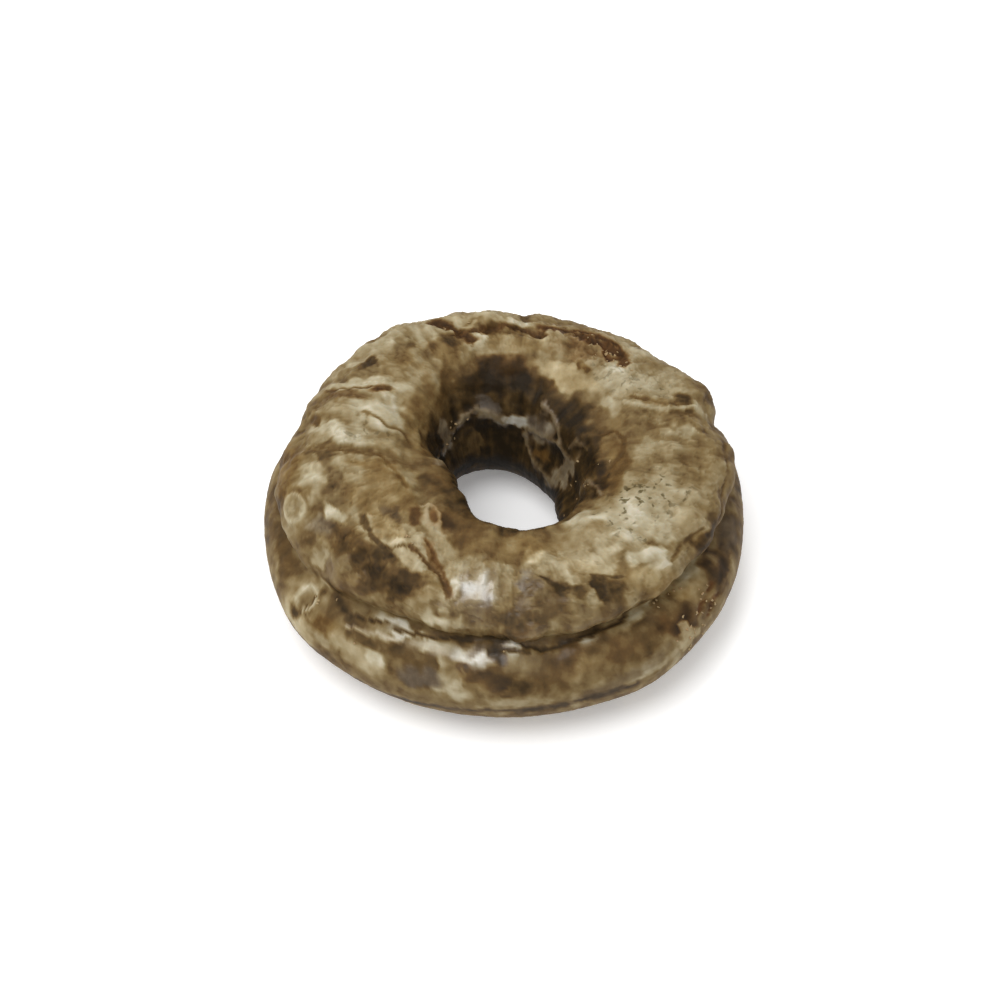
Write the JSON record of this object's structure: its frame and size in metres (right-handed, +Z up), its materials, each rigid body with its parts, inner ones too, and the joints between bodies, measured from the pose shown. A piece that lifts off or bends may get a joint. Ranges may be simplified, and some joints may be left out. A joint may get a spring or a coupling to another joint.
{
  "type": "glazed doughnut",
  "caption": "Ring doughnut of cake dough under a dried sugar glaze: a narrow cracked crown on a wider skirt, with a crease round the outside and a see-through hole.",
  "frame": {"origin": "middle of the underside, on the surface that the doughnut rests on", "axes": "+Z up along the hole, -Y towards the picture's viewer, +X to the picture's right"},
  "size_m": [0.0854, 0.0864, 0.0303],
  "materials": {
    "glazed_dough": "dark cake dough under an uneven, mostly dry sugar glaze, glossy at the front"
  },
  "bodies": {
    "root": {"doughnut": "glazed_dough"}
  },
  "joints": []
}
